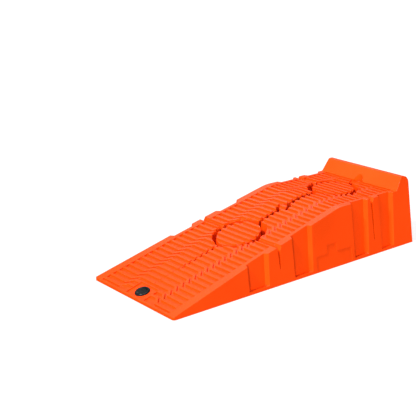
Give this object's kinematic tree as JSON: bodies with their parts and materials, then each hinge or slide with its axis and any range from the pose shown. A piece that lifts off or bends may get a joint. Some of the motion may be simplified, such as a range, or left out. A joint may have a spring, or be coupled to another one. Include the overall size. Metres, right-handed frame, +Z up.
{
  "type": "wheel leveling ramp",
  "caption": "Moulded plastic wheel ramp with a ribbed slope, a level platform and a wheel stop, hollow underneath, with a rubber grip plug in its toe.",
  "frame": {"origin": "on the ground at the middle of the footprint", "axes": "+Y uphill from the toe to the wheel stop, +X to the right looking uphill, +Z up"},
  "size_m": [0.358, 0.9, 0.202],
  "materials": {
    "shell_plastic": "fine moulded grain, satin",
    "plug_rubber": "smooth moulded rubber"
  },
  "bodies": {
    "root": {"ramp_shell": "shell_plastic", "grip_plug": "plug_rubber"}
  },
  "joints": []
}
